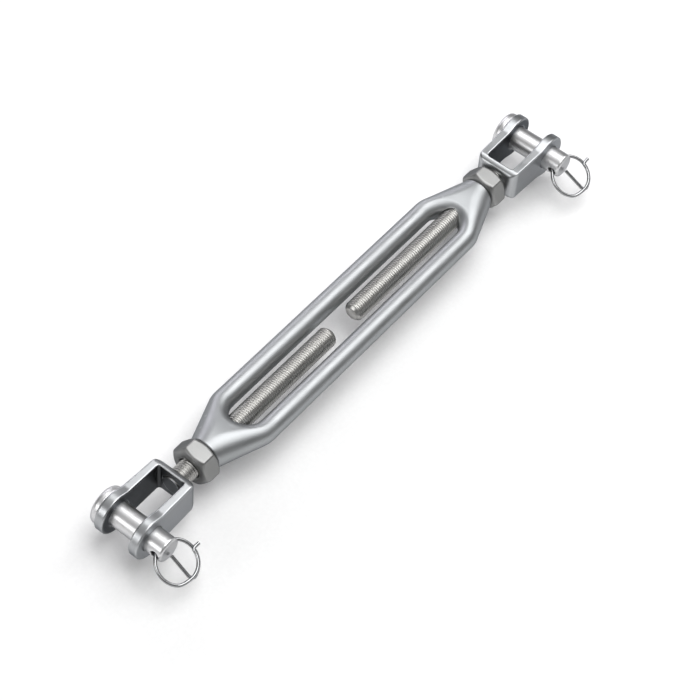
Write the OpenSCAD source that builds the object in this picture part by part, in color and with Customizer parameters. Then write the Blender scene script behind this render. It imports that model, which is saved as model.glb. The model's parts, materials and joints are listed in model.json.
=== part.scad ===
// Rigging turnbuckle: open body, a forked jaw with a clevis pin at each end,
// two lock nuts and a wire cotter ring in each pin.
// Origin at the centre of the port clevis pin. +X runs along the rigging axis to the
// starboard jaw, +Z is up and the clevis pins lie along Y with their heads at +Y.
// Lengths in millimetres. The studs are plain cylinders at the thread's major diameter.

/* [Thread] */
// Major diameter of the stud thread
thread_d = 10; // [10:0.5:12.5]
// Radial running clearance between a stud and the parts it passes through
thread_clear = 0.05; // [0.02:0.01:0.1]
// Length of the port stud from its riveted end in the crown to its tip
port_stud_len = 108.5; // [90:0.5:112]
// Length of the starboard stud from its riveted end in the crown to its tip
starboard_stud_len = 114; // [90:0.5:116]
// Chamfer at the tip of a stud
stud_tip = 2.2; // [1:0.1:3]

/* [Frame] */
// Overall length of the open frame
frame_len = 199; // [196:1:230]
// Length of the open slot, end to end
slot_len = 158; // [140:1:160]
// Width of the open slot
slot_w = 15.2; // [14:0.2:16]
// Outer width across the two side bars
frame_w = 35; // [34:0.2:38]
// Diameter of each side bar
bar_d = 10; // [9.4:0.1:11]
// Diameter of the round end face of each boss
boss_d = 16.6; // [16:0.1:19]
// Length of each tapered shoulder
shoulder_len = 24.5; // [22:0.5:27]

/* [Lock nuts] */
// Width across the flats of a lock nut
nut_af = 19; // [17:0.5:20]
// Height of a lock nut
nut_h = 10; // [6:0.1:12]
// Gap between a lock nut and the frame end it is drawn up to
nut_gap = 0.1; // [0.05:0.05:0.2]
// Angle the lock nuts stand at, turned about the rigging axis from flats up and down
nut_turn = 10; // [0:1:59]
// Bare stud between the port lock nut and the port jaw
port_reach = 7.3; // [3:0.1:12]
// Bare stud between the starboard lock nut and the starboard jaw
starboard_reach = 2.8; // [2.4:0.1:12]

/* [Jaws] */
// Inside width between the two ears
jaw_gap = 14.6; // [13:0.2:16]
// Outer width at the crown
crown_w = 22.2; // [21:0.2:23]
// Outer width at the ears
ear_w = 24; // [23:0.2:26]
// Distance from the pin centre to the inner wall of the crown
throat = 25.4; // [18:0.1:28]
// Thickness of the crown
crown_t = 3.8; // [3.4:0.1:6]
// Height of the crown and arms
jaw_h = 17.4; // [15:0.2:18]
// Diameter of the rounded ears
ear_d = 21.4; // [19:0.2:22]
// Bevel at the corners of the crown
crown_bevel = 2.4; // [1:0.1:3]

/* [Clevis pins] */
// Shank diameter of a clevis pin
pin_d = 12; // [10:0.2:12.4]
// Radial clearance between a pin and its ears
pin_clear = 0.1; // [0.04:0.01:0.1]
// Diameter of the flat round head
head_d = 19; // [17:0.2:20]
// Thickness of the head
head_t = 4; // [3:0.1:5]
// Length of the pin beyond the ear on the ring side
tail_len = 9.2; // [8.8:0.1:12]
// Distance of the cross hole from the tail end
hole_inset = 3.5; // [3.3:0.1:4]
// Diameter of the cross hole
hole_d = 4.2; // [4.1:0.1:4.4]

/* [Cotter rings] */
// Wire diameter of a cotter ring
wire_d = 1.6; // [1.2:0.1:1.6]
// Mean diameter of the ring
ring_d = 19.8; // [19:0.2:21]
// Slope of the port pin's cross hole above the horizontal
port_hole_slope = 0; // [0:1:90]
// Slope of the starboard pin's cross hole above the horizontal
starboard_hole_slope = 10; // [0:1:90]
// Droop of each ring below the line of its pin
ring_droop = 30; // [0:1:36]
// Length of the flared wire end outside the ring
flare_len = 4; // [2:0.2:5]

/* [Hidden] */
$fn = 96;
eps = 0.05;
stud_r = thread_d / 2;
bore_r = stud_r + thread_clear;
bar_r = bar_d / 2;
bar_y = frame_w / 2 - bar_r;
slot_r = slot_w / 2;
crown_x = throat + crown_t;
head_gap = 0.2;
pin_r = pin_d / 2;
ring_r = ring_d / 2;
wire_r = wire_d / 2;
hole_y = -(ear_w / 2 + tail_len - hole_inset);
frame_port_x = crown_x + port_reach + nut_h + nut_gap;
frame_mid_x = frame_port_x + frame_len / 2;
frame_star_x = frame_port_x + frame_len;
star_x = frame_star_x + nut_gap + nut_h + starboard_reach + crown_x;

// Places a starboard piece: the port piece mirrored about the middle of the pin spacing.
module at_starboard() {
    translate([star_x, 0, 0])
        mirror([1, 0, 0])
            children();
}

module rod(radius, x0, x1) {
    translate([x0, 0, 0])
        rotate([0, 90, 0])
            cylinder(r = radius, h = x1 - x0);
}

// The turned envelope of the frame: straight between the shoulders, a cone down to each boss.
module frame_envelope() {
    end_x = frame_len / 2;
    shoulder_x = end_x - shoulder_len;
    shoulder_r = frame_w / 2 + eps;
    rotate([0, 90, 0])
        rotate_extrude()
            polygon([
                [0, -end_x], [boss_d / 2, -end_x], [shoulder_r, -shoulder_x],
                [shoulder_r, shoulder_x], [boss_d / 2, end_x], [0, end_x]
            ]);
}

// The web that joins the bars at one end, deepening from the bars to the boss.
module frame_web() {
    end_x = frame_len / 2;
    web_x = end_x - shoulder_len - 4;
    web_h = bar_r - 0.8;
    boss_h = boss_d / 2 + 0.3;
    boss_flat = 7;
    translate([0, bar_y, 0])
        rotate([90, 0, 0])
            linear_extrude(height = 2 * bar_y)
                polygon([
                    [web_x, -web_h], [end_x - boss_flat, -boss_h], [end_x + 1, -boss_h],
                    [end_x + 1, boss_h], [end_x - boss_flat, boss_h], [web_x, web_h]
                ]);
}

module frame_slot() {
    round_x = slot_len / 2 - slot_r;
    translate([-round_x, -slot_r, -frame_w])
        cube([2 * round_x, slot_w, 2 * frame_w]);
    for (side = [-1, 1])
        translate([side * round_x, 0, -frame_w])
            cylinder(r = slot_r, h = 2 * frame_w);
}

module frame() {
    color("silver")
        translate([frame_mid_x, 0, 0])
            difference() {
                intersection() {
                    frame_envelope();
                    union() {
                        for (side = [-1, 1])
                            translate([0, side * bar_y, 0])
                                rod(bar_r, -frame_len / 2, frame_len / 2);
                        frame_web();
                        mirror([1, 0, 0])
                            frame_web();
                    }
                }
                frame_slot();
                rod(bore_r, -frame_len / 2 - 1, frame_len / 2 + 1);
            }
}

// A jaw about its own pin centre with the crown towards +X.
module jaw() {
    half_h = jaw_h / 2;
    deep = 2 * ear_d;
    difference() {
        union() {
            intersection() {
                translate([0, 0, -half_h])
                    linear_extrude(height = jaw_h)
                        polygon([
                            [0, -ear_w / 2], [crown_x - crown_bevel, -crown_w / 2],
                            [crown_x, crown_bevel - crown_w / 2],
                            [crown_x, crown_w / 2 - crown_bevel],
                            [crown_x - crown_bevel, crown_w / 2], [0, ear_w / 2]
                        ]);
                translate([0, deep / 2, 0])
                    rotate([90, 0, 0])
                        linear_extrude(height = deep)
                            polygon([
                                [-ear_d, -half_h], [crown_x - crown_bevel, -half_h],
                                [crown_x, crown_bevel - half_h],
                                [crown_x, half_h - crown_bevel],
                                [crown_x - crown_bevel, half_h], [-ear_d, half_h]
                            ]);
            }
            translate([0, ear_w / 2, 0])
                rotate([90, 0, 0])
                    cylinder(r = ear_d / 2, h = ear_w);
        }
        translate([throat - deep, -jaw_gap / 2, -ear_d])
            cube([deep, jaw_gap, 2 * ear_d]);
        translate([0, ear_w, 0])
            rotate([90, 0, 0])
                cylinder(r = pin_r + pin_clear, h = 2 * ear_w);
        rod(bore_r, throat - 1, crown_x + 1);
    }
}

module port_jaw() {
    color("gainsboro")
        jaw();
}

module starboard_jaw() {
    color("gainsboro")
        at_starboard()
            jaw();
}

// A stud about its own jaw: the tip points to +X and the riveted end stands proud of the crown.
module stud(len) {
    rivet_proud = 0.6;
    start_x = throat - rivet_proud;
    tip_x = start_x + len;
    rod(stud_r, start_x, tip_x - stud_tip);
    translate([tip_x - stud_tip, 0, 0])
        rotate([0, 90, 0])
            cylinder(r1 = stud_r, r2 = stud_r - stud_tip * 0.8, h = stud_tip);
}

module port_stud() {
    color("lightgray")
        stud(port_stud_len);
}

module starboard_stud() {
    color("lightgray")
        at_starboard()
            stud(starboard_stud_len);
}

// A hexagonal nut from x = 0 to x = nut_h, both faces chamfered.
module lock_nut() {
    corner_r = nut_af / sqrt(3);
    face_r = nut_af / 2 * 0.96;
    chamfer_h = (corner_r - face_r) * 0.7;
    difference() {
        intersection() {
            rotate([nut_turn, 0, 0])
                rotate([0, 90, 0])
                    rotate([0, 0, 30])
                        cylinder(r = corner_r, h = nut_h, $fn = 6);
            rotate([0, 90, 0])
                rotate_extrude()
                    polygon([
                        [0, 0], [face_r, 0], [corner_r + eps, chamfer_h],
                        [corner_r + eps, nut_h - chamfer_h], [face_r, nut_h], [0, nut_h]
                    ]);
        }
        rod(bore_r, -1, nut_h + 1);
    }
}

module port_lock_nut() {
    color("darkgray")
        translate([frame_port_x - nut_gap - nut_h, 0, 0])
            lock_nut();
}

module starboard_lock_nut() {
    color("darkgray")
        translate([frame_star_x + nut_gap, 0, 0])
            lock_nut();
}

// The cross hole: children are turned so that +X runs through the hole.
module along_hole(slope) {
    translate([0, hole_y, 0])
        rotate([0, -slope, 0])
            children();
}

module clevis_pin(slope) {
    head_y = ear_w / 2 + head_gap;
    tail_y = -(ear_w / 2 + tail_len);
    dome = 0.9;
    tail_bevel = 1.0;
    difference() {
        rotate([-90, 0, 0])
            rotate_extrude()
                polygon([
                    [0, tail_y], [pin_r - tail_bevel, tail_y], [pin_r, tail_y + tail_bevel],
                    [pin_r, head_y], [head_d / 2, head_y], [head_d / 2, head_y + head_t - dome],
                    [head_d / 2 - dome, head_y + head_t], [0, head_y + head_t]
                ]);
        along_hole(slope)
            rod(hole_d / 2, -pin_d, pin_d);
    }
}

module port_clevis_pin() {
    color("whitesmoke")
        clevis_pin(port_hole_slope);
}

module starboard_clevis_pin() {
    color("whitesmoke")
        translate([star_x, 0, 0])
            clevis_pin(starboard_hole_slope);
}

// A ring of round wire that runs through the cross hole. Its straight leg crosses the ring
// from the far side to just short of the pin's end, and its other end flares outwards.
module cotter_ring(slope) {
    // The arc inside the hole sits half its own rise either side of the hole's centre line.
    arc_rise = ring_r - sqrt(ring_r * ring_r - pin_r * pin_r);
    centre = ring_r - arc_rise / 2;
    leg_end = hole_inset + 1.7;
    flare_angle = 14;
    along_hole(slope)
        rotate([ring_droop, 0, 0])
            translate([0, -centre, 0]) {
                rotate_extrude()
                    translate([ring_r, 0, 0])
                        circle(r = wire_r, $fn = 48);
                rotate([0, 0, -90])
                    rod(wire_r, leg_end - centre, ring_r);
                rotate([0, 0, -flare_angle])
                    rod(wire_r, ring_r, ring_r + flare_len);
            }
}

module port_cotter_ring() {
    color("dimgray")
        cotter_ring(port_hole_slope);
}

module starboard_cotter_ring() {
    color("dimgray")
        translate([star_x, 0, 0])
            cotter_ring(starboard_hole_slope);
}

frame();
port_jaw();
starboard_jaw();
port_stud();
starboard_stud();
port_lock_nut();
starboard_lock_nut();
port_clevis_pin();
starboard_clevis_pin();
port_cotter_ring();
starboard_cotter_ring();
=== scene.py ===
"""Looks of the rigging turnbuckle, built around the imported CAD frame.

Each forged or machined piece is one closed mesh: its shape is written as a distance
function in millimetres, meshed on a grid and then moved exactly on to the surface, which
gives every edge its real rounding. The threads and the cotter rings are swept.
"""

import json
import math
from functools import partial

import bmesh
import bpy
import numpy as np
from mathutils import Matrix, Vector


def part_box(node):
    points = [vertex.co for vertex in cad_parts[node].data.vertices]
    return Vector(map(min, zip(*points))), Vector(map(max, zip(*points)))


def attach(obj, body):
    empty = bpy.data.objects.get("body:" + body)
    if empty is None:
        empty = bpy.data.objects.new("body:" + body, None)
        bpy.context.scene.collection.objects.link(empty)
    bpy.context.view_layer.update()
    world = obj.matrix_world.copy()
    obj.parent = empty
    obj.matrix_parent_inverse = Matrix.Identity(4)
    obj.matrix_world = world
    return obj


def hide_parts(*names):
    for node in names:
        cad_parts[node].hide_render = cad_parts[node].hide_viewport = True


MM = 0.001

# Sizes in millimetres and the nuts' turn in degrees, the same as the CAD model's.
THREAD_R, THREAD_PITCH, BORE_R = 5.0, 1.25, 5.05
FRAME_HALF, FRAME_HALF_W, BAR_R, BOSS_R = 99.5, 17.5, 5.0, 8.3
SHOULDER, SLOT_HALF, SLOT_R = 24.5, 79.0, 7.6
NUT_AF, NUT_H, NUT_TURN = 19.0, 10.0, 10.0
THROAT, CROWN_X, CROWN_HALF_W, EAR_HALF_W = 25.4, 29.2, 11.1, 12.0
JAW_GAP, ARM_HALF_H, EAR_R, PIN_HOLE_R = 14.6, 8.7, 10.7, 6.1
PIN_R, HEAD_R, HEAD_Y, HEAD_T, TAIL_Y = 6.0, 9.5, 12.2, 4.0, -21.2
HOLE_Y, HOLE_R = -17.7, 2.1
HOLE_SLOPE = {"port": 0.0, "starboard": math.radians(10)}
WIRE_R, RING_R, RING_CENTRE, LEG_END = 0.8, 9.9, 8.887, 5.3
RING_DROOP, FLARE_ANGLE, FLARE_LEN = math.radians(30), math.radians(14), 4.0

# Viewing angle: degrees round from -Y, above the horizon, and the camera's own roll.
VIEW_AZIMUTH, VIEW_ELEVATION, VIEW_ROLL = -56.0, 52.8, 5.75
VIEW_DISTANCE, VIEW_LENS, VIEW_OFFSET = 1.0, 113.04, (0.0011, -0.0148)


# ---- distance functions -------------------------------------------------------------

def round_and(a, b, r):
    """Both solids' common part, with an edge rounded to radius r where they cross."""
    u, v = np.maximum(a + r, 0), np.maximum(b + r, 0)
    return np.minimum(-r, np.maximum(a, b)) + np.sqrt(u * u + v * v)


def round_or(a, b, r):
    """Both solids together, with a fillet of radius r where they meet."""
    u, v = np.maximum(r - a, 0), np.maximum(r - b, 0)
    return np.maximum(r, np.minimum(a, b)) - np.sqrt(u * u + v * v)


def round_cut(a, b, r):
    return round_and(a, -b, r)


def ease(x, start, end):
    t = np.clip((x - start) / (end - start), 0, 1)
    return t * t * (3 - 2 * t)


def bent_ramp(x, width):
    """0 below zero and x above it, with the corner rounded over the given width."""
    inside = (x + width) ** 2 / (4 * width)
    return np.where(x < -width, 0, np.where(x > width, x, inside))


def frame_shape(x, y, z):
    """Two round bars that swell and close into a round boss at each end."""
    u = np.abs(x)
    corner, corner_round = FRAME_HALF - SHOULDER, 2.5
    # The section's height starts to grow a little before the corner, and its ends to swell
    # from a bar's radius to the boss's a little later.
    taper = (FRAME_HALF_W - BOSS_R) / SHOULDER
    half_w = FRAME_HALF_W - taper * bent_ramp(u - corner, corner_round)
    half_h = BAR_R + (BOSS_R - BAR_R) * ease(u, corner - 8, FRAME_HALF - 5)
    bar_share = BAR_R / FRAME_HALF_W
    side = half_w * (bar_share + (1 - bar_share) * ease(u, corner - 4, FRAME_HALF - 1))
    beyond = np.maximum(np.abs(y) - (half_w - side), 0) / side
    section = (np.sqrt(beyond ** 2 + (z / half_h) ** 2) - 1) * np.minimum(side, half_h)
    body = round_and(section, u - FRAME_HALF, 0.8)
    straight = SLOT_HALF - SLOT_R
    slot = np.sqrt(np.maximum(u - straight, 0) ** 2 + y * y) - SLOT_R
    body = round_cut(body, slot, BAR_R - 0.1)
    return round_cut(body, np.sqrt(y * y + z * z) - BORE_R, 0.5)


def jaw_shape(x, y, z):
    """A fork about its pin centre with the crown towards +X."""
    v, w = np.abs(y), np.abs(z)
    flare, flare_len, bevel_size = 0.5, 18.0, 2.2
    half_h = ARM_HALF_H + flare * np.clip(1 - x / flare_len, 0, 1)
    arm = np.maximum(w - half_h, np.maximum(-x, x - CROWN_X))
    ear = np.sqrt(x * x + z * z) - EAR_R
    profile = round_or(arm, ear, EAR_R - ARM_HALF_H - flare)
    half_w = EAR_HALF_W + (CROWN_HALF_W - EAR_HALF_W) * np.clip(x / CROWN_X, 0, 1)
    body = round_and(profile, v - half_w, 0.8)
    for side, half in ((v, CROWN_HALF_W), (w, ARM_HALF_H)):
        bevel = ((x - CROWN_X) + (side - half) + bevel_size) / math.sqrt(2)
        body = round_and(body, bevel, 1.2)
    throat = round_and(v - JAW_GAP / 2, x - THROAT, 1.4)
    body = round_cut(body, throat, 0.8)
    body = round_cut(body, np.sqrt(x * x + z * z) - PIN_HOLE_R, 0.5)
    in_crown = (THROAT - 4) - x
    bore = np.maximum(np.sqrt(y * y + z * z) - BORE_R, in_crown)
    return round_cut(body, bore, 0.4)


def nut_shape(x, y, z):
    """A hexagonal nut about its own middle, turned a little from flats up and down."""
    r, u = np.sqrt(y * y + z * z), np.abs(x)
    body = np.full(np.shape(r), -NUT_AF)
    for degrees in (0, 60, 120):
        turn = math.radians(degrees - NUT_TURN)
        flat = np.abs(z * math.cos(turn) + y * math.sin(turn)) - NUT_AF / 2
        body = round_and(body, flat, 0.5)
    body = round_and(body, u - NUT_H / 2, 0.25)
    chamfer_r, mouth_depth = 0.89 * NUT_AF / 2, 0.8
    chamfer = (r - chamfer_r) * 0.60 + (u - NUT_H / 2) * 0.80
    body = round_and(body, chamfer, 0.8)
    mouth = np.maximum(u - (NUT_H / 2 - mouth_depth), 0)
    return round_cut(body, r - BORE_R - mouth, 0.25)


def pin_shape(x, y, z, slope):
    """A clevis pin about its jaw's centre: head at +Y, cross hole in the tail."""
    r = np.sqrt(x * x + z * z)
    tail = round_and(r - PIN_R, TAIL_Y - y, 1.3)
    shank = np.maximum(tail, y - HEAD_Y - 1)
    head = round_and(r - HEAD_R, y - (HEAD_Y + HEAD_T), 2.4)
    head = round_and(head, HEAD_Y - y, 0.5)
    body = round_or(shank, head, 0.4)
    across = x * math.sin(slope) - z * math.cos(slope)
    hole = np.sqrt((y - HOLE_Y) ** 2 + across ** 2) - HOLE_R
    return round_cut(body, hole, 0.5)


def rivet_shape(x, y, z):
    """The headed-over end of a stud, a low dome standing proud of the crown's inner wall."""
    r, half_len = np.sqrt(y * y + z * z), 0.6
    return round_and(r - (THREAD_R - 0.1), np.abs(x - THROAT) - half_len, 0.5)


# ---- meshing -------------------------------------------------------------------------

def gradient(shape, p):
    h = 1e-3
    g = np.empty_like(p)
    for axis in range(3):
        step = np.zeros(3)
        step[axis] = h
        g[:, axis] = (shape(*(p + step).T) - shape(*(p - step).T)) / (2 * h)
    return g


def settle(shape, p, rounds=4):
    """Moves points on to the surface where shape is zero."""
    for _ in range(rounds):
        g = gradient(shape, p)
        p = p - g * (shape(*p.T) / np.maximum((g * g).sum(1), 1e-6))[:, None]
    return p


def relax(p, quads, amount=0.5):
    """Draws each point towards the middle of its neighbours."""
    total, count = np.zeros_like(p), np.zeros(len(p))
    for k in range(4):
        a, b = quads[:, k], quads[:, (k + 1) % 4]
        for s, t in ((a, b), (b, a)):
            np.add.at(total, s, p[t])
            np.add.at(count, s, 1)
    return p + amount * (total / np.maximum(count, 1)[:, None] - p)


def net(shape, xs, ys, zs):
    """Quads with one point in each grid cell that the surface crosses."""
    grid = np.stack(np.meshgrid(xs, ys, zs, indexing="ij"), -1)
    value = shape(grid[..., 0], grid[..., 1], grid[..., 2])
    inside = value < 0
    cells = tuple(n - 1 for n in value.shape)
    total, count = np.zeros(cells + (3,)), np.zeros(cells)
    crossings = []
    for axis in range(3):
        low = [slice(None)] * 3
        high = [slice(None)] * 3
        low[axis], high[axis] = slice(0, -1), slice(1, None)
        low, high = tuple(low), tuple(high)
        crossed = inside[low] != inside[high]
        at = np.argwhere(crossed)
        a, b = value[low][crossed], value[high][crossed]
        share = (a / (a - b))[:, None]
        point = grid[low][crossed] * (1 - share) + grid[high][crossed] * share
        others = [k for k in range(3) if k != axis]
        for du in (0, 1):
            for dv in (0, 1):
                cell = at.copy()
                cell[:, others[0]] -= du
                cell[:, others[1]] -= dv
                np.add.at(total, tuple(cell.T), point)
                np.add.at(count, tuple(cell.T), 1)
        crossings.append((axis, others, at, inside[low][crossed]))
    used = count > 0
    index = np.full(cells, -1)
    index[used] = np.arange(used.sum())
    quads = []
    for axis, (u, v), at, starts_inside in crossings:
        corner = []
        for du, dv in ((0, 0), (1, 0), (1, 1), (0, 1)):
            cell = at.copy()
            cell[:, u] -= du
            cell[:, v] -= dv
            corner.append(index[tuple(cell.T)])
        quad = np.stack(corner, 1)
        flip = starts_inside if axis != 1 else ~starts_inside
        quad[~flip] = quad[~flip][:, ::-1]
        quads.append(quad)
    return total[used] / count[used][:, None], np.concatenate(quads)


def add_mesh(name, points, faces, normals=None):
    """A smooth-shaded object from points in metres."""
    mesh = bpy.data.meshes.new(name)
    mesh.vertices.add(len(points))
    mesh.vertices.foreach_set("co", np.asarray(points, np.float32).ravel())
    sizes = np.array([len(f) for f in faces])
    starts = np.concatenate(([0], np.cumsum(sizes)[:-1]))
    mesh.loops.add(int(sizes.sum()))
    mesh.loops.foreach_set("vertex_index", np.concatenate([np.asarray(f) for f in faces]))
    mesh.polygons.add(len(faces))
    mesh.polygons.foreach_set("loop_start", starts)
    mesh.update(calc_edges=True)
    mesh.polygons.foreach_set("use_smooth", np.ones(len(faces), bool))
    if normals is not None:
        mesh.normals_split_custom_set_from_vertices(normals.tolist())
    obj = bpy.data.objects.new(name, mesh)
    bpy.context.scene.collection.objects.link(obj)
    return obj


def steps(low, high, size):
    margin = 1.5 * size
    return np.arange(low - margin, high + margin + size, size) + size * 0.013


def solid(name, shape, box, size, place, xs=None):
    """Meshes a shape over its box, both in millimetres, and places it: (origin, mirrored)."""
    (x0, y0, z0), (x1, y1, z1) = box
    xs = steps(x0, x1, size) if xs is None else xs
    p, quads = net(shape, xs, steps(y0, y1, size), steps(z0, z1, size))
    p = settle(shape, p)
    for _ in range(3):
        p = settle(shape, relax(p, quads), 2)
    n = gradient(shape, p)
    n /= np.maximum(np.linalg.norm(n, axis=1), 1e-9)[:, None]
    origin, mirrored = place
    if mirrored:
        p, n = p * (-1, 1, 1), n * (-1, 1, 1)
        quads = quads[:, ::-1]
    return add_mesh(name, p * MM + np.array(origin), quads, n)


# ---- swept pieces --------------------------------------------------------------------

THREAD_PHASES = np.array([0.0, 0.1, 0.2, 0.33, 0.45, 0.55, 0.68, 0.78, 0.89, 1.0])


def thread_radius(phase):
    """Radius over one pitch: a flat crest, straight flanks and a rounded root."""
    depth = 0.42 * THREAD_PITCH
    drop = [0.04, 0.0, 0.04, 0.36, 0.80, 1.0, 1.0, 0.80, 0.36, 0.04]
    return THREAD_R - 0.04 - depth * np.interp(phase, THREAD_PHASES, drop)


def stud_mesh(name, root, length, direction, hand):
    """A threaded rod along X from its root, with a rounded chamfer at its tip."""
    around, tip_len, tip_drop, root_drop = 56, 2.2, 1.9, 1.2
    phases = THREAD_PHASES[:-1]
    turns = int(length / THREAD_PITCH) + 3
    raw = (np.arange(-1, turns)[:, None] + phases[None, :]).ravel() * THREAD_PITCH
    radius = np.tile(thread_radius(phases), turns + 1)
    per_turn = len(phases)
    angle = np.arange(around) / around * 2 * math.pi
    lead = hand * direction * np.arange(around) / around * THREAD_PITCH
    x = np.clip(raw[:, None] + lead[None, :], 0, length)
    tip = length - x
    limit = THREAD_R - tip_drop * (1 - np.clip(tip / tip_len, 0, 1)) ** 1.6
    r = np.minimum(radius[:, None], limit)
    ends = (x <= 0) | (x >= length)
    r = np.where(ends, THREAD_R - np.where(x > 0, tip_drop, root_drop), r)
    p = np.stack([direction * x, r * np.cos(angle), r * np.sin(angle)], -1)
    rows = len(raw)
    number = np.arange(rows * around).reshape(rows, around)
    faces = []
    shift = hand * direction * per_turn
    # Once round, the last column joins the first one turn of thread further along.
    for j in range(around):
        for i in range(rows - 1):
            k, step = (j + 1, 0) if j + 1 < around else (0, shift)
            a, b = i + step, i + 1 + step
            if 0 <= a < rows and 0 <= b < rows:
                faces.append((number[i, j], number[i + 1, j], number[b, k], number[a, k]))
    if direction > 0:
        faces = [f[::-1] for f in faces]
    obj = add_mesh(name, p.reshape(-1, 3) * MM + np.array(root), faces)
    return weld_and_cap(obj)


def weld_and_cap(obj):
    """Joins coincident points, drops empty faces and closes the two open ends."""
    bm = bmesh.new()
    bm.from_mesh(obj.data)
    bmesh.ops.remove_doubles(bm, verts=bm.verts, dist=1e-6)
    bmesh.ops.dissolve_degenerate(bm, edges=bm.edges, dist=1e-7)
    rims = [e for e in bm.edges if e.is_boundary]
    bmesh.ops.holes_fill(bm, edges=rims, sides=0)
    bmesh.ops.recalc_face_normals(bm, faces=bm.faces)
    for face in bm.faces:
        face.smooth = True
    bm.to_mesh(obj.data)
    bm.free()
    obj.data.set_sharp_from_angle(angle=math.radians(50))
    return obj


def ring_path():
    """Centre line of the cotter ring in its own plane, the pin's hole towards +Y.

    The straight leg comes from near the pin, turns into the coil at the far side, and the
    coil goes once round and a little over itself before its end flares outwards.
    """
    bend = 2.4                              # radius that turns the leg into the coil
    below, above, nested = -0.45, 1.10, 0.8  # how the overlapped wire steps aside
    points = [(0, y, below * k / 9) for k, y in
              enumerate(np.linspace(RING_CENTRE - LEG_END, bend - RING_R, 10))]
    points += [(bend * (1 - math.cos(t)), bend - RING_R - bend * math.sin(t) * 0.96, below)
               for t in np.linspace(0.15, math.pi / 2 - 0.22, 8)]
    start, overlap = math.radians(-73), math.radians(252)
    stop = 2 * math.pi - FLARE_ANGLE + math.radians(8)
    for t in np.linspace(start, stop, 100):
        over = float(ease(t, overlap - 0.45, overlap + 0.15))
        level = below * (1 - float(ease(t, start, 0))) + above * over
        r = RING_R - nested * over
        points.append((r * math.cos(t), r * math.sin(t), level))
    last = Vector(points[-1])
    out = Vector((math.cos(-FLARE_ANGLE), math.sin(-FLARE_ANGLE), 0))
    along = Vector((-out.y, out.x, 0))
    for t in np.linspace(0.12, 1, 9):
        points.append(tuple(last + out * (FLARE_LEN - 0.4) * t ** 1.6 + along * 1.4 * t ** 0.7))
    return points


def ring_mesh(name, pin, hole_slope):
    curve = bpy.data.curves.new(name, "CURVE")
    curve.dimensions = "3D"
    curve.bevel_depth, curve.bevel_resolution = WIRE_R * MM, 6
    curve.use_fill_caps = True
    spline = curve.splines.new("POLY")
    path = ring_path()
    spline.points.add(len(path) - 1)
    for point, target in zip(spline.points, path):
        point.co = (*[c * MM for c in target], 1)
    obj = bpy.data.objects.new(name + "_path", curve)
    bpy.context.scene.collection.objects.link(obj)
    slope = Matrix.Rotation(-hole_slope, 4, "Y")
    droop = Matrix.Rotation(RING_DROOP, 4, "X")
    hole = Matrix.Translation(pin + Vector((0, HOLE_Y * MM, 0)))
    centre = Matrix.Translation((0, -RING_CENTRE * MM, 0))
    mesh = bpy.data.meshes.new_from_object(obj.evaluated_get(
        bpy.context.evaluated_depsgraph_get()))
    bpy.data.objects.remove(obj)
    mesh.transform(hole @ slope @ droop @ centre)
    ring = bpy.data.objects.new(name, mesh)
    bpy.context.scene.collection.objects.link(ring)
    mesh.polygons.foreach_set("use_smooth", np.ones(len(mesh.polygons), bool))
    mesh.set_sharp_from_angle(angle=math.radians(60))
    return ring


# ---- materials -----------------------------------------------------------------------

def link(tree, source, target):
    tree.links.new(source, target)


def node(tree, kind, **values):
    made = tree.nodes.new(kind)
    for name, value in values.items():
        if hasattr(made, name):
            setattr(made, name, value)
        else:
            made.inputs[name.replace("_", " ")].default_value = value
    return made


def ramp(tree, source, stops):
    """A colour ramp of grey levels: stops are (position, level)."""
    made = tree.nodes.new("ShaderNodeValToRGB")
    while len(made.color_ramp.elements) < len(stops):
        made.color_ramp.elements.new(0.5)
    for element, (position, level) in zip(made.color_ramp.elements, stops):
        element.position = position
        element.color = (level, level, level, 1)
    link(tree, source, made.inputs["Fac"])
    return made.outputs["Color"]


def within(tree, coordinate, centre, reach):
    """1 where a coordinate is within reach of the centre, 0 elsewhere."""
    test = node(tree, "ShaderNodeMath", operation="COMPARE")
    link(tree, coordinate, test.inputs[0])
    test.inputs[1].default_value, test.inputs[2].default_value = centre, reach
    return test.outputs[0]


def fork_inner_shade_mask(tree, where, middle_x):
    """1 on the inner walls of both forks, where their steel gets painted shade."""
    split = node(tree, "ShaderNodeSeparateXYZ")
    link(tree, where, split.inputs["Vector"])
    between_forks = middle_x - (THROAT + 0.2) * MM
    between_ears = within(tree, split.outputs["Y"], 0.0, (JAW_GAP / 2 + 0.2) * MM)
    inside = node(tree, "ShaderNodeMath", operation="SUBTRACT", use_clamp=True)
    link(tree, between_ears, inside.inputs[0])
    link(tree, within(tree, split.outputs["X"], middle_x, between_forks), inside.inputs[1])
    return inside.outputs[0]


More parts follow.
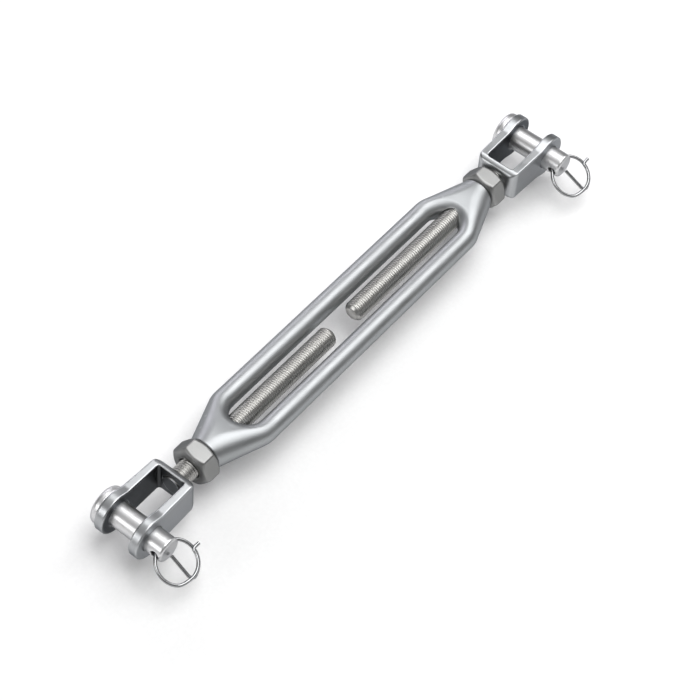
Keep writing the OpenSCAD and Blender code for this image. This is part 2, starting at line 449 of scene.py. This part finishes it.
def steel(name, tint, rough, grain, grain_depth=0.25, wear=0.10, forks_middle=None):
    """Satin stainless steel: a drawn grain, cloudy roughness, edges with wear and a painted
    highlight, faint pits.

    tint is its colour, rough its middle roughness and grain the scale of the grain along
    X, Y and Z, small along the way it was polished. forks_middle is the X halfway between
    the two forks, for painted shade that darkens their inner walls.
    """
    material = bpy.data.materials.new(name)
    material.use_nodes = True
    tree = material.node_tree
    shader = tree.nodes["Principled BSDF"]
    shader.inputs["Metallic"].default_value = 1.0
    shader.inputs["Specular Tint"].default_value = (0.24, 0.25, 0.27, 1)
    where = node(tree, "ShaderNodeTexCoord").outputs["Object"]

    stretch = node(tree, "ShaderNodeMapping", Scale=grain)
    link(tree, where, stretch.inputs["Vector"])
    lines = node(tree, "ShaderNodeTexNoise", Scale=1.0, Detail=4.0, Roughness=0.62)
    link(tree, stretch.outputs["Vector"], lines.inputs["Vector"])
    clouds = node(tree, "ShaderNodeTexNoise", Scale=95.0, Detail=5.0, Roughness=0.55)
    link(tree, where, clouds.inputs["Vector"])
    pits = node(tree, "ShaderNodeTexNoise", Scale=1600.0, Detail=3.0, Roughness=0.6)
    link(tree, where, pits.inputs["Vector"])
    edges = node(tree, "ShaderNodeNewGeometry").outputs["Pointiness"]

    # Convex edges: less rough from wear, and brighter in colour as a painted highlight.
    wear_and_glint = ramp(tree, edges, [(0.49, 0.0), (0.56, 1.0)])
    cloud = ramp(tree, clouds.outputs["Fac"], [(0.30, 0.0), (0.72, 1.0)])
    line = ramp(tree, lines.outputs["Fac"], [(0.32, 0.0), (0.68, 1.0)])

    def mixed(fac, a, b):
        mix = node(tree, "ShaderNodeMix", data_type="RGBA")
        link(tree, fac, mix.inputs["Factor"])
        for socket, value in ((mix.inputs[6], a), (mix.inputs[7], b)):
            if isinstance(value, tuple):
                socket.default_value = (*value, 1)
            else:
                link(tree, value, socket)
        return mix.outputs[2]

    dull = tuple(c * 0.90 for c in tint)
    bright = tuple(min(1.0, c * 1.16) for c in tint)
    colour = mixed(cloud, dull, tint)
    colour = mixed(line, colour, tuple(c * 0.97 for c in tint))
    if forks_middle is not None:
        # Painted shade: the forks' inner walls are darkened to 0.28 of the tint.
        painted_fork_shade = tuple(c * 0.28 for c in tint)
        colour = mixed(fork_inner_shade_mask(tree, where, forks_middle), colour, painted_fork_shade)
    link(tree, mixed(wear_and_glint, colour, bright), shader.inputs["Base Color"])

    def spread(source, low, high):
        scale = node(tree, "ShaderNodeMapRange", To_Min=low, To_Max=high)
        link(tree, source, scale.inputs["Value"])
        return scale.outputs["Result"]

    def total(a, b, operation="ADD"):
        add = node(tree, "ShaderNodeMath", operation=operation, use_clamp=True)
        link(tree, a, add.inputs[0])
        link(tree, b, add.inputs[1])
        return add.outputs[0]

    dullness = total(spread(cloud, rough - 0.05, rough + 0.05), spread(line, 0.0, 0.07))
    dullness = total(dullness, spread(wear_and_glint, 0.0, wear), "SUBTRACT")
    link(tree, dullness, shader.inputs["Roughness"])

    relief = total(spread(lines.outputs["Fac"], 0.0, 0.6), spread(pits.outputs["Fac"], 0.0, 0.4))
    bump = node(tree, "ShaderNodeBump", Strength=grain_depth, Distance=0.00004)
    link(tree, relief, bump.inputs["Height"])
    link(tree, bump.outputs["Normal"], shader.inputs["Normal"])
    return material


def dress(obj, material, body, slot, *nodes):
    """Gives a piece its material, its body and the CAD nodes it stands for; slot is not used."""
    obj.data.materials.clear()
    obj.data.materials.append(material)
    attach(obj, body)
    if nodes:
        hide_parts(*nodes)


# ---- stage ---------------------------------------------------------------------------

def look_at(obj, target):
    obj.rotation_mode = "QUATERNION"
    obj.rotation_quaternion = (Vector(target) - obj.location).to_track_quat("-Z", "Y")


def softbox(name, location, target, size, power, tint=(1, 1, 1)):
    data = bpy.data.lights.new(name, "AREA")
    data.shape, data.size, data.size_y = "RECTANGLE", size[0], size[1]
    data.energy, data.color = power, tint
    light = bpy.data.objects.new(name, data)
    light.location = location
    bpy.context.scene.collection.objects.link(light)
    look_at(light, target)


def make_camera(middle):
    """The viewing angle: a long lens that looks down at the near, port end."""
    a, e, r = (math.radians(v) for v in (VIEW_AZIMUTH, VIEW_ELEVATION, VIEW_ROLL))
    right = Vector((math.cos(a), math.sin(a), 0))
    up = Vector((-math.sin(a) * math.sin(e), math.cos(a) * math.sin(e), math.cos(e)))
    back = right.cross(up)
    right, up = (math.cos(r) * right + math.sin(r) * up,
                 math.cos(r) * up - math.sin(r) * right)
    data = bpy.data.cameras.new("camera")
    data.lens, data.sensor_width = VIEW_LENS, 36.0
    data.clip_start, data.clip_end = 0.05, 20
    camera = bpy.data.objects.new("camera", data)
    bpy.context.scene.collection.objects.link(camera)
    aim = middle + VIEW_OFFSET[0] * right + VIEW_OFFSET[1] * up
    turn = Matrix((right, up, back)).transposed().to_4x4()
    camera.matrix_world = Matrix.Translation(aim + back * VIEW_DISTANCE) @ turn
    bpy.context.scene.camera = camera
    bpy.context.scene.view_settings.view_transform = "Standard"


def make_world():
    """Soft studio surroundings, brighter overhead than at the horizon."""
    world = bpy.data.worlds.new("studio")
    bpy.context.scene.world = world
    world.use_nodes = True
    tree = world.node_tree
    way = node(tree, "ShaderNodeTexCoord").outputs["Generated"]
    split = node(tree, "ShaderNodeSeparateXYZ")
    link(tree, way, split.inputs["Vector"])
    sky = ramp(tree, split.outputs["Z"], [(0.50, 0.16), (0.70, 0.22), (0.90, 0.60)])
    link(tree, sky, tree.nodes["Background"].inputs["Color"])
    tree.nodes["Background"].inputs["Strength"].default_value = 1.0


def make_floor(middle, height):
    """A plain pale floor with no edge in view, just clear of the frame as it turns."""
    half = 4.0
    corners = [(-half, -half), (half, -half), (half, half), (-half, half)]
    points = [(middle.x + x, middle.y + y, height) for x, y in corners]
    floor = add_mesh("floor", points, [(0, 1, 2, 3)])
    material = bpy.data.materials.new("paper")
    material.use_nodes = True
    tree = material.node_tree
    shader = tree.nodes["Principled BSDF"]
    shader.inputs["Roughness"].default_value = 0.85
    shader.inputs["Specular IOR Level"].default_value = 0.1
    where = node(tree, "ShaderNodeTexCoord").outputs["Object"]
    fibre = node(tree, "ShaderNodeTexNoise", Scale=700.0, Detail=3.0)
    link(tree, where, fibre.inputs["Vector"])
    link(tree, ramp(tree, fibre.outputs["Fac"], [(0.3, 0.90), (0.7, 0.93)]),
         shader.inputs["Base Color"])
    floor.data.materials.append(material)


def make_lights(middle):
    x, y, z = middle
    softbox("overhead", (x + 0.15, y - 0.12, z + 1.00), middle, (1.3, 0.75), 8.6)
    softbox("far", (x + 0.80, y - 0.20, z + 0.75), middle, (0.5, 0.5), 2.5)
    softbox("left", (x + 0.45, y + 0.90, z + 0.42), middle, (0.9, 0.35), 3.0, (0.96, 0.94, 1.0))
    softbox("near", (x - 0.95, y + 0.30, z + 0.42), middle, (0.6, 0.4), 2.2)


# ---- the object ----------------------------------------------------------------------

def build(frame):
    mounts = {m["name"]: Vector(m["pos_m"]) for m in frame["record"]["mounts"]}
    pins = {"port": mounts["port_clevis"], "starboard": mounts["starboard_clevis"]}
    low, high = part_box("frame")
    middle = (low + high) / 2

    body_steel = steel("frame_satin", (0.39, 0.402, 0.41), 0.43, (300, 4500, 4500), 0.06)
    jaw_steel = steel("jaw_satin", (0.42, 0.43, 0.44), 0.33, (400, 4500, 1200), 0.12,
                      forks_middle=(pins["port"].x + pins["starboard"].x) / 2)
    thread_steel = steel("thread_rolled", (0.52, 0.513, 0.495), 0.36, (1400, 1400, 1400), 0.04)
    nut_steel = steel("nut_satin", (0.275, 0.276, 0.273), 0.40, (4500, 600, 600), 0.14, 0.04)
    pin_steel = steel("pin_polished", (0.68, 0.68, 0.685), 0.36, (4500, 400, 4500), 0.08)
    wire_steel = steel("wire_bright", (0.36, 0.365, 0.37), 0.22, (5000, 5000, 5000), 0.08)

    ends = np.arange(64.0, FRAME_HALF + 1.2, 0.45)
    bars = np.linspace(-63.5, 63.5, 85)
    along = np.concatenate((-ends[::-1], bars, ends)) + 0.006
    half = (FRAME_HALF, FRAME_HALF_W, BOSS_R)
    obj = solid("frame_body", frame_shape, (tuple(-h for h in half), half), 0.45,
                (middle, False), xs=along)
    dress(obj, body_steel, "frame", "frame_steel", "frame")

    for end, pin in pins.items():
        mirrored = end == "starboard"
        inward = -1 if mirrored else 1
        jaw_box = ((-EAR_R, -EAR_HALF_W, -EAR_R), (CROWN_X, EAR_HALF_W, EAR_R))
        obj = solid(f"{end}_jaw_fork", jaw_shape, jaw_box, 0.36, (pin, mirrored))
        dress(obj, jaw_steel, f"{end}_jaw", "jaw_steel", f"{end}_jaw")

        low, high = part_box(f"{end}_stud")
        length = (high.x - low.x) / MM
        root = pin + Vector((inward * (THROAT - 0.5) * MM, 0, 0))
        hand = -1 if mirrored else 1
        obj = stud_mesh(f"{end}_stud_thread", root, length - 0.1, inward, hand)
        dress(obj, thread_steel, f"{end}_jaw", "stud_steel", f"{end}_stud")
        dome = ((THROAT - 0.6, -THREAD_R, -THREAD_R), (THROAT + 0.6, THREAD_R, THREAD_R))
        obj = solid(f"{end}_stud_rivet", rivet_shape, dome, 0.3, (pin, mirrored))
        dress(obj, jaw_steel, f"{end}_jaw", "stud_steel")

        low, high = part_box(f"{end}_lock_nut")
        nut_box = ((-NUT_H / 2, -11.0, -11.0), (NUT_H / 2, 11.0, 11.0))
        obj = solid(f"{end}_nut", nut_shape, nut_box, 0.3, ((low + high) / 2, False))
        dress(obj, nut_steel, f"{end}_lock_nut", "nut_steel", f"{end}_lock_nut")

        pin_box = ((-HEAD_R, TAIL_Y, -HEAD_R), (HEAD_R, HEAD_Y + HEAD_T, HEAD_R))
        shape = partial(pin_shape, slope=HOLE_SLOPE[end])
        obj = solid(f"{end}_pin", shape, pin_box, 0.33, (pin, False))
        dress(obj, pin_steel, f"{end}_clevis_pin", "pin_steel", f"{end}_clevis_pin")

        obj = ring_mesh(f"{end}_ring", pin, HOLE_SLOPE[end])
        dress(obj, wire_steel, f"{end}_cotter_ring", "ring_steel", f"{end}_cotter_ring")
    return middle


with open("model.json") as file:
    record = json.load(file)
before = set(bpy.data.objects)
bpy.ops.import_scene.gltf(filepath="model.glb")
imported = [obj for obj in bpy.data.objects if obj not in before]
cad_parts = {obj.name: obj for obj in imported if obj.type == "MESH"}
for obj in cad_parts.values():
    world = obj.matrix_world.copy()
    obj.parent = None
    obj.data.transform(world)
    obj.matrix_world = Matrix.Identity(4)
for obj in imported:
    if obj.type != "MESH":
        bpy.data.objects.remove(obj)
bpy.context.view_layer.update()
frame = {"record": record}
middle = build(frame)
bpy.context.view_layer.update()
make_camera(middle)
make_world()
make_floor(middle, middle.z - (FRAME_HALF_W + 0.4) * MM)
make_lights(middle)
